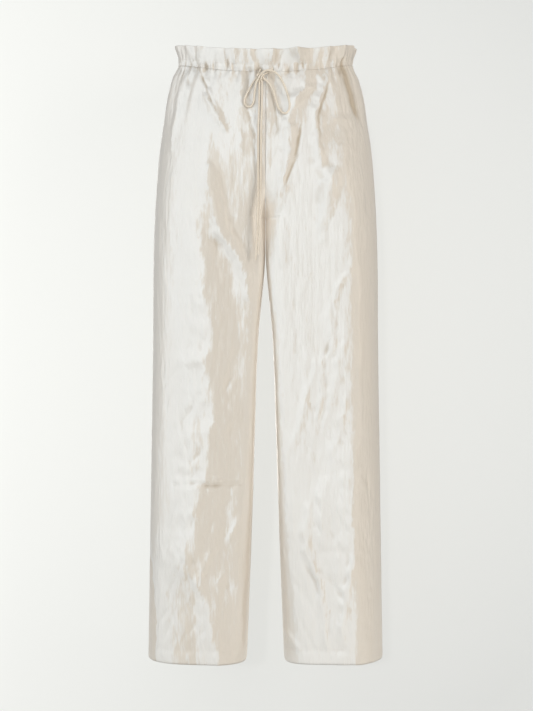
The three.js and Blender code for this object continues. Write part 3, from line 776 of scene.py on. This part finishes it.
band_up = np.linspace(WAIST_SEAM, HEADING_TOP - 1, BAND_ROWS)
band_heights = [*band_up, EDGE_TOP, EDGE_TOP, *band_up[::-1]]
lapped = LAP_INSET * (1 - smooth((band_up[::-1] - WAIST_SEAM - LAP) / LAP_FADE))
band_insets = [BAND_INSET] * BAND_ROWS + [BAND_INSET - EDGE_ROUND, EDGE_ROUND, *lapped]

bands = {
    node: cloth_piece(f"{node}_cloth", face, BOTH, BAND_COLUMNS, band_heights, band_insets, relief)
    for node, face, relief in (
        ("waistband_front", -1, front_relief),
        ("waistband_back", 1, back_relief),
    )
}

# %% [markdown]
# ## Stitching
# Rows of small stitches hold the hems, the cord's channel and the mock fly. One stitch is a squashed ball
# of a few dozen faces. Copies of it are set end to end along each row, just proud of the cloth, turned to
# follow the row.

# %% Sew the rows of stitches
THREAD = 0.55
STITCH_LENGTH, STITCH_STEP = 2.4, 3.2
STITCH_LIFT, HOLE_LIFT = 0.1, 0.2
SHARE_STEP = 0.004
ROW_POINTS, ROW_INSET = 160, 0.02


def one_stitch():
    """One stitch at the origin, lying along X, as its corners and faces."""
    bpy.ops.mesh.primitive_uv_sphere_add(segments=6, ring_count=4, radius=1)
    ball = bpy.context.object
    ball.scale = (STITCH_LENGTH / 2, THREAD / 2, THREAD / 2)
    bpy.ops.object.transform_apply(location=False, rotation=False, scale=True)
    corners = np.array([v.co for v in ball.data.vertices])
    faces = [tuple(p.vertices) for p in ball.data.polygons]
    bpy.data.objects.remove(ball)
    return corners, faces


STITCH = one_stitch()


def on_cloth(face, share, z, relief, lift=STITCH_LIFT, centre_seam=True):
    """Places just above the cloth at a list of shares and heights, with the directions out of it."""
    step = SHARE_STEP * np.array([[-1], [0], [1]])
    shares = np.clip(np.array(share, float)[None] + step, -1, 1)
    rows = np.broadcast_to(np.array(z, float)[None], shares.shape)
    place, level, _ = cloth_points(face, shares.T, rows.T, relief, centre_seam)
    return place[:, 1] + lift * level[:, 1], level[:, 1]


def sewn_row(places, outward):
    """Corners of the stitches along a row of places."""
    gaps = np.linalg.norm(np.diff(places, axis=0), axis=1)
    length = np.concatenate([[0], gaps.cumsum()])
    at = np.arange(STITCH_STEP / 2, length[-1], STITCH_STEP)

    def pick(values, where):
        return np.stack([np.interp(where, length, values[:, k]) for k in range(3)], 1)

    middle, ahead, normal = pick(places, at), pick(places, at + 1) - pick(places, at - 1), pick(outward, at)
    ahead /= np.linalg.norm(ahead, axis=1, keepdims=True) + 1e-9
    normal /= np.linalg.norm(normal, axis=1, keepdims=True) + 1e-9
    axes = np.stack([ahead, np.cross(normal, ahead), normal], 1)
    return (middle[:, None] + STITCH[0] @ axes).reshape(-1, 3)


def stitching(name, rows):
    """One piece from several rows of stitches."""
    spots = np.concatenate([sewn_row(*row) for row in rows])
    corners, faces = STITCH
    starts = range(0, len(spots), len(corners))
    mesh = bpy.data.meshes.new(name)
    mesh.from_pydata(spots * MM, [], [tuple(i + start for i in face) for start in starts for face in faces])
    piece = bpy.data.objects.new(name, mesh)
    bpy.context.collection.objects.link(piece)
    select_only(piece)
    bpy.ops.object.shade_smooth()
    print(name, "has", len(mesh.polygons), "faces")
    return piece


def level_row(face, span, z, relief):
    """A row of stitches all along a panel at one height."""
    share = np.linspace(span[0] + ROW_INSET, span[1] - ROW_INSET, ROW_POINTS)
    return on_cloth(face, share, np.full(ROW_POINTS, z), relief, centre_seam=span != BOTH)


FACES = ((-1, front_relief), (1, back_relief))
hem_stitches = stitching(
    "hem_stitches",
    [level_row(face, span, HEM_ROW, relief) for face, relief in FACES for span in (RIGHT, LEFT)],
)
channel_stitches = stitching(
    "channel_stitches",
    [level_row(face, BOTH, z, relief) for face, relief in FACES for z in (CHANNEL_TOP, CHANNEL_BOTTOM)],
)

# %% [markdown]
# A mock fly is sewn on the wearer's left of the centre seam: a straight row that turns in to the seam in a
# J. To sew along a line that is known across the body, the place on the cloth is looked up from that
# distance.

# %% Sew the mock fly
FLY_LINE = [(22, -46), (22, -90), (22, -125), (21, -148), (17, -166), (10, -178), (3, -185)]
LOOKUP_POINTS, FLY_POINTS = 200, 60


def share_at(x, z):
    """The share of the way round at which the front is x millimetres across, at height z."""
    shares = np.linspace(0, 1, LOOKUP_POINTS)
    place, _, _ = form(1, -1, shares, np.full(LOOKUP_POINTS, float(z)))
    return float(np.interp(abs(x), place[:, 0], shares)) * (1 if x > 0 else -1)


fly = np.array(FLY_LINE, float)
fly_steps = np.linspace(0, len(fly) - 1, FLY_POINTS)
fly_x, fly_z = (np.interp(fly_steps, range(len(fly)), fly[:, k]) for k in (0, 1))
fly_share = np.array([share_at(x, z) for x, z in zip(fly_x, fly_z)])
fly_stitches = stitching("fly_stitches", [on_cloth(-1, fly_share, fly_z, front_relief)])

# %% [markdown]
# ## Buttonholes
# The cord leaves the channel through two small buttonholes. Each is a narrow ring of close stitches, so a
# torus is drawn out tall and thin and pressed almost flat, and small ribs round it stand for the stitches.

# %% Work the two buttonholes
BUTTONHOLE = {"right": (-9, -26), "left": (10, -26)}
BUTTONHOLE_HEIGHT, BUTTONHOLE_WIDTH, BUTTONHOLE_DEPTH = 9.5, 4.6, 0.9
RING_WALL, RIBS, RIB_DEPTH = 0.36, 36, 0.05


def buttonhole(hand, x, z):
    """A ring of close stitches on the waistband, x millimetres across and at height z."""
    bpy.ops.mesh.primitive_torus_add(
        major_segments=2 * RIBS, minor_segments=8, major_radius=1, minor_radius=RING_WALL,
        rotation=(math.pi / 2, 0, 0),
    )
    ring = bpy.context.object
    ring.name = ring.data.name = f"buttonhole_{hand}"
    bpy.ops.object.transform_apply(location=False, rotation=True, scale=False)
    corners = np.array([v.co for v in ring.data.vertices])
    ribs = 1 + RIB_DEPTH * np.cos(RIBS * np.arctan2(corners[:, 2], corners[:, 0]))[:, None]
    across = 2 * (1 + RING_WALL)
    corners = corners * ribs * [BUTTONHOLE_WIDTH / across, BUTTONHOLE_DEPTH, BUTTONHOLE_HEIGHT / across]
    on_form = z + FRONT_DIP
    share = share_at(x, on_form)
    middle, _ = on_cloth(-1, [share], [on_form], front_relief, lift=HOLE_LIFT, centre_seam=False)
    corners = corners + middle[0]
    ring.data.vertices.foreach_set("co", (corners * MM).ravel())
    select_only(ring)
    bpy.ops.object.shade_smooth()
    print(ring.name, "at", [round(float(v), 1) for v in middle[0]])
    return ring


buttonholes = [buttonhole(hand, *place) for hand, place in BUTTONHOLE.items()]

# %% [markdown]
# ## Finishes
# A finish is a small network of nodes. To keep the networks readable, one class wraps a socket, so that
# sums of masks are written as plain expressions, and one method adds any other node.

# %% Two small classes for shader maths
class Amount:
    """A value that varies over a surface."""

    def __init__(self, finish, socket):
        self.finish, self.socket = finish, socket

    def maths(self, operation, first, second):
        return self.finish.node("Math", {"operation": operation}, {0: first, 1: second})

    def __add__(self, other):
        return self.maths("ADD", self, other)

    def __sub__(self, other):
        return self.maths("SUBTRACT", self, other)

    def __rsub__(self, other):
        return self.maths("SUBTRACT", other, self)

    def __mul__(self, other):
        return self.maths("MULTIPLY", self, other)

    __radd__ = __add__
    __rmul__ = __mul__


class Finish:
    """A material that is built up node by node."""

    def __init__(self, name):
        self.material = bpy.data.materials.new(name)
        self.material.use_nodes = True
        self.tree = self.material.node_tree
        self.tree.nodes.clear()

    def node(self, kind, settings=None, inputs=None, output=0):
        """Adds a node, sets its settings, then its sockets' values or links, and gives one output."""
        node = self.tree.nodes.new(f"ShaderNode{kind}")
        for key, value in (settings or {}).items():
            if key == "stops":
                for stop, (place, grey) in zip(node.color_ramp.elements, value):
                    stop.position, stop.color = place, (grey, grey, grey, 1)
            else:
                setattr(node, key, value)
        for key, value in (inputs or {}).items():
            if isinstance(value, Amount):
                self.tree.links.new(value.socket, node.inputs[key])
            else:
                node.inputs[key].default_value = value
        return Amount(self, node.outputs[output])

    def noise(self, coordinates, scale, detail, turn=0.0):
        """Noise from 0 to 1, stretched by a different scale along each axis."""
        inputs = {"Vector": coordinates, "Scale": scale, "Rotation": (0, 0, turn)}
        place = self.node("Mapping", {}, inputs)
        return self.node("TexNoise", {}, {"Vector": place, "Scale": 1.0, "Detail": detail})

    def between(self, amount, low, high):
        """The colour between two colours."""
        return self.node("Mix", {"data_type": "RGBA"}, {"Factor": amount, 6: low, 7: high}, output=2)

    def ramp(self, amount, low, high):
        """0 where the amount is below low, 1 where it is above high."""
        return self.node("ValToRGB", {"stops": ((low, 0), (high, 1))}, {"Fac": amount})

    def bump(self, strength, distance, height):
        return self.node("Bump", {}, {"Strength": strength, "Distance": distance, "Height": height})

    def ended(self, shader):
        """Leads a shader to the material's output."""
        end = self.tree.nodes.new("ShaderNodeOutputMaterial")
        self.tree.links.new(shader.socket, end.inputs["Surface"])
        return self.material

    def surface(self, constants, inputs):
        return self.ended(self.node("BsdfPrincipled", {}, {**constants, **inputs}))


# %% [markdown]
# The cloth is satin with a pearly face. Satin throws light back partly like a metal, so the finish is a
# little metallic, which gives the facets of the folds their bright and dull sides. The fine crinkle, the
# warp and weft and a few thicker yarns are bumps on the map that follows the cloth. The colour is ivory.
# Its colour is painted light and shade: a lit ivory where the face of the cloth turns to the large light, a
# warmer, duller ivory as painted shade where it turns away and at the grazing edges, and a deeper painted
# shade in the creases. Streaks and clouds add random tone. Where the legs press on each other, a painted
# glow stands in for light that bounces from cloth to cloth.

# %% Mix the satin
# Painted light and shade: the first colour is the satin painted as lit, the second the satin painted as
# shaded where its face turns from the light (and its random warmer tone), the third the painted shade in the
# creases, and the fourth the colour of a painted glow of bounced light.
LIT_IVORY = (0.79, 0.763, 0.717, 1)
WARM_TONE_AND_SHADE_IVORY = (0.67, 0.592, 0.495, 1)
CREASE_SHADED_IVORY = (0.45, 0.36, 0.255, 1)
SEAM_GLOW = (0.90, 0.82, 0.71, 1)
AWAY, FAR_AWAY, SHADE = (0.44, 0.55), (0.10, 0.20), (0.22, 1)
SATIN_BUMP, SATIN_CRINKLE = 0.95, 0.0016
GLOW = 0.15
STREAKS, CLOUDS, PATCHES = ((42, 42, 6), 3), ((9, 9, 5), 2), ((60, 60, 22), 3)  # scale and detail
FEATHERS, SMALL_FOLDS = ((280, 280, 42), 5), ((170, 170, 26), 4)
SLUBS, YARNS = ((60, 1500, 1), 1), ((2600, 260, 1), 1)


def satin(name, crinkled=1.0):
    """Pearly ivory satin."""
    finish = Finish(name)
    space = finish.node("TexCoord", output="Object")
    weave = finish.node("TexCoord", output="UV")
    crease, turned, bounce_glow = (
        finish.node("Attribute", {"attribute_name": kind}, output="Fac")
        for kind in ("crease", "turned", "bounce_glow")
    )
    streaks, clouds = finish.noise(space, *STREAKS), finish.noise(space, *CLOUDS)
    feather, patchy = finish.noise(space, *FEATHERS), finish.noise(space, *PATCHES)
    # Painted light and shade by the face's turn: where it turns from the large light, and at the grazing
    # edges, the colour goes over to the shaded ivory; streaks and clouds add random tone.
    slope = 0.5 + 0.5 * turned + 0.34 * feather + 0.10 * patchy - 0.22
    away = finish.ramp(slope, *AWAY)
    far = 1 - finish.ramp(slope, *FAR_AWAY)
    # Painted shade in the creases.
    shade = finish.ramp(crease * 0.5, *SHADE)
    shade_and_tone = 0.72 * away + 0.3 * far + 0.20 * streaks + 0.08 * clouds - 0.10
    colour = finish.between(0.8 * shade, finish.between(shade_and_tone, LIT_IVORY, WARM_TONE_AND_SHADE_IVORY), CREASE_SHADED_IVORY)
    folds, slubs = finish.noise(space, *SMALL_FOLDS), finish.noise(weave, *SLUBS)
    yarns = finish.noise(weave, *YARNS)
    height = crinkled * (0.9 * folds + 0.3 * feather) + 0.05 * slubs + 0.05 * yarns
    rough = 0.25 + 0.10 * streaks + 0.10 * shade + 0.06 * away + 0.04 * slubs
    # The emission is a painted glow where the legs press on each other.
    return finish.surface(
        {"Metallic": 0.30, "Specular IOR Level": 0.6, "Sheen Weight": 0.15, "Sheen Roughness": 0.4,
         "Emission Strength": GLOW},
        {"Base Color": colour, "Roughness": rough, "Normal": finish.bump(SATIN_BUMP, SATIN_CRINKLE, height),
         "Emission Color": finish.between(bounce_glow, (0, 0, 0, 1), SEAM_GLOW)},
    )


pants_satin = satin("ivory_satin")
band_satin = satin("ivory_satin_gathered", crinkled=0.7)
for piece in panels.values():
    piece.data.materials.append(pants_satin)
for piece in bands.values():
    piece.data.materials.append(band_satin)
print("satin on", len(panels) + len(bands), "pieces")

# %% [markdown]
# The cord is cut from the same cloth, rolled and sewn, so it is duller and a shade deeper, with a fine
# twist. The thread is ivory too, and a little shinier than the cord.

# %% Mix the cord and the thread
CORD_IVORY = (0.78, 0.71, 0.61, 1)
CORD_DEEP = (0.52, 0.42, 0.30, 1)
THREAD_IVORY = (0.74, 0.68, 0.59, 1)
THREAD_DEEP = (0.62, 0.55, 0.45, 1)
TWIST, YARN_BUMP, YARN_RISE = 0.4, 0.5, 0.0004


def yarn_finish(name, low, deep, scale, roughness):
    """Dull twisted yarn, with scale fibres in a metre."""
    finish = Finish(name)
    space = finish.node("TexCoord", output="Object")
    fibres = finish.noise(space, (scale, scale, scale * 0.35), 3, turn=TWIST)
    patches = finish.noise(space, (40, 40, 25), 2)
    return finish.surface(
        {"Specular IOR Level": 0.45, "Sheen Weight": 0.25, "Sheen Roughness": 0.5},
        {
            "Base Color": finish.between(0.5 * fibres + 0.35 * patches, low, deep),
            "Roughness": roughness + 0.15 * fibres,
            "Normal": finish.bump(YARN_BUMP, YARN_RISE, fibres),
        },
    )


cord_finish = yarn_finish("rolled_ivory_cord", CORD_IVORY, CORD_DEEP, 900, 0.42)
thread_finish = yarn_finish("ivory_thread", THREAD_IVORY, THREAD_DEEP, 2200, 0.38)
for piece in (*cords.values(), knot):
    piece.data.materials.append(cord_finish)
for piece in (hem_stitches, channel_stitches, fly_stitches, *buttonholes):
    piece.data.materials.append(thread_finish)

# %% [markdown]
# ## Light and setting
# The pants are lit like satin is lit in a studio. A tall, cool softbox on the left is what the bright
# facets reflect. The right side is left dimmer and warmer, so the facets that face it stay dull. A weak
# sun from the front gives a narrow soft shadow on a pale wall close behind, and a pale floor lies below.

# %% Set the lights
def softbox(name, place, target, size, power, colour):
    """A rectangular light that faces its target."""
    bpy.ops.object.light_add(type="AREA", location=place)
    light = bpy.context.object
    light.name = name
    aim = np.array(target, float) - np.array(place, float)
    down, turn = math.atan2(math.hypot(aim[0], aim[1]), -aim[2]), math.atan2(aim[0], -aim[1])
    light.rotation_euler = (down, 0, turn + math.pi)
    light.data.shape = "RECTANGLE"
    light.data.size, light.data.size_y = size
    light.data.energy = power
    light.data.color = colour
    return light


MIDDLE = (0, 0, -0.5)
SUN_TURN, SUN_ENERGY, SUN_SPREAD = (math.radians(78), 0, math.radians(-9)), 0.5, math.radians(2.5)
ROOM_COLOUR, ROOM_STRENGTH = (0.93, 0.925, 0.91, 1), 0.45
softbox("cool_softbox_left", (-1.44, -2.88, 0.2), (0.92, -0.16, -0.4), (5.2, 5.2), 60, (0.91, 1.0, 1.08))
softbox("cool_side_left", (-3.0, -0.3, 0.1), MIDDLE, (1.8, 3.4), 15, (0.97, 1.0, 1.02))
warm_fill = softbox("warm_fill_right", (2.4, -1.6, 0.2), MIDDLE, (1.0, 2.2), 45, (1.0, 0.98, 0.95))
warm_fill.visible_glossy = False
softbox("back_softbox", (-0.2, 2.9, 0.1), MIDDLE, (1.5, 2.4), 40, (1.0, 0.99, 0.97))

bpy.ops.object.light_add(type="SUN", rotation=SUN_TURN)
sun = bpy.context.object
sun.name = "soft_front_light"
sun.data.energy, sun.data.angle = SUN_ENERGY, SUN_SPREAD
sun.visible_glossy = False

world = bpy.data.worlds.new("pale_room")
bpy.context.scene.world = world
world.use_nodes = True
room = world.node_tree.nodes["Background"]
room.inputs["Color"].default_value = ROOM_COLOUR
room.inputs["Strength"].default_value = ROOM_STRENGTH

# %% Set the wall and the floor
WALL_AT, WALL_SIZE = (0, 0.17, -0.5), (1.3, 1.7, 1)
FLOOR_AT, FLOOR_SIZE = (0, 0, -1.36), (9, 9, 1)
WALL_PAINT, WALL_GLOW = 0.2, 0.83
# The glow of the wall and of the floor is painted light: brighter on the left and dimmer to the right.
WALL_LEFT, WALL_RIGHT = (0.93, 0.935, 0.895, 1), (0.61, 0.615, 0.595, 1)
FLOOR_PAINT, FLOOR_GLOW = 0.6, 0.2
FLOOR_LEFT, FLOOR_RIGHT = (0.80, 0.80, 0.79, 1), (0.74, 0.74, 0.73, 1)


def stage_finish(name, paint, glow, left, right, clear_from_behind):
    """A pale matt finish that gives off most of its light itself, so that shadows on it stay faint."""
    finish = Finish(name)
    space = finish.node("TexCoord", output="Object")
    across = finish.node("SeparateXYZ", {}, {"Vector": space}, output="X")
    height = finish.node("SeparateXYZ", {}, {"Vector": space}, output="Z") + 0.45
    cloud = finish.noise(space, (1.1, 1.1, 0.8), 1)
    # Painted light: the glow is brightest on the left and dims to the right and towards the top and the
    # bottom, with a faint cloud.
    colour = finish.between(0.30 + 0.8 * across + 0.6 * height * height + 0.15 * cloud, left, right)
    matt = finish.node("BsdfDiffuse", {}, {"Color": (paint, paint, paint * 0.98, 1)})
    light = finish.node("Emission", {}, {"Color": colour, "Strength": glow})
    both = finish.node("AddShader", {}, {0: matt, 1: light})
    if clear_from_behind:
        behind = finish.node("NewGeometry", output="Backfacing")
        both = finish.node("MixShader", {}, {0: behind, 1: both, 2: finish.node("BsdfTransparent")})
    return finish.ended(both)


def plane(name, place, turn, size, finish):
    """A flat rectangle that is part of the setting."""
    bpy.ops.mesh.primitive_plane_add(size=1, location=place, rotation=turn)
    piece = bpy.context.object
    piece.name = name
    piece.scale = size
    bpy.ops.object.transform_apply(location=True, rotation=True, scale=True)
    piece.data.materials.append(finish)
    return piece


wall_paint = stage_finish("wall_paint", WALL_PAINT, WALL_GLOW, WALL_LEFT, WALL_RIGHT, True)
wall = plane("pale_wall", WALL_AT, (math.pi / 2, 0, 0), WALL_SIZE, wall_paint)
wall.visible_shadow = wall.visible_diffuse = wall.visible_glossy = False
floor_paint = stage_finish("floor_paint", FLOOR_PAINT, FLOOR_GLOW, FLOOR_LEFT, FLOOR_RIGHT, False)
floor = plane("pale_floor", FLOOR_AT, (0, 0, 0), FLOOR_SIZE, floor_paint)
print("wall at", WALL_AT, "and floor at", FLOOR_AT)

# %% [markdown]
# ## Tie the pieces to the model
# Each piece stands for the imported solid that it was made from, and moves with the one body of the pants.

for node, piece in {**panels, **bands}.items():
    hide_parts(node)
    print(node, "has", round(sum(p.area for p in piece.data.polygons) / 2, 4), "square metres of cloth")

for name, cord in cords.items():
    path, loop = CORD_PATHS[name], "loop" in name
    tuple(v * MM for v in path[0])
    [knot] if name == "cord_right" else []
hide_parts("cord_exit_right", "cord_tail_right")
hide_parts("cord_exit_left", "cord_tail_left")
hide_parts("cord_loop_right")
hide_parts("cord_loop_left")
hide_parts("bow_knot")

for piece in (
    *panels.values(), *bands.values(), *cords.values(), knot,
    hem_stitches, fly_stitches, channel_stitches, *buttonholes,
):
    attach(piece, "root")
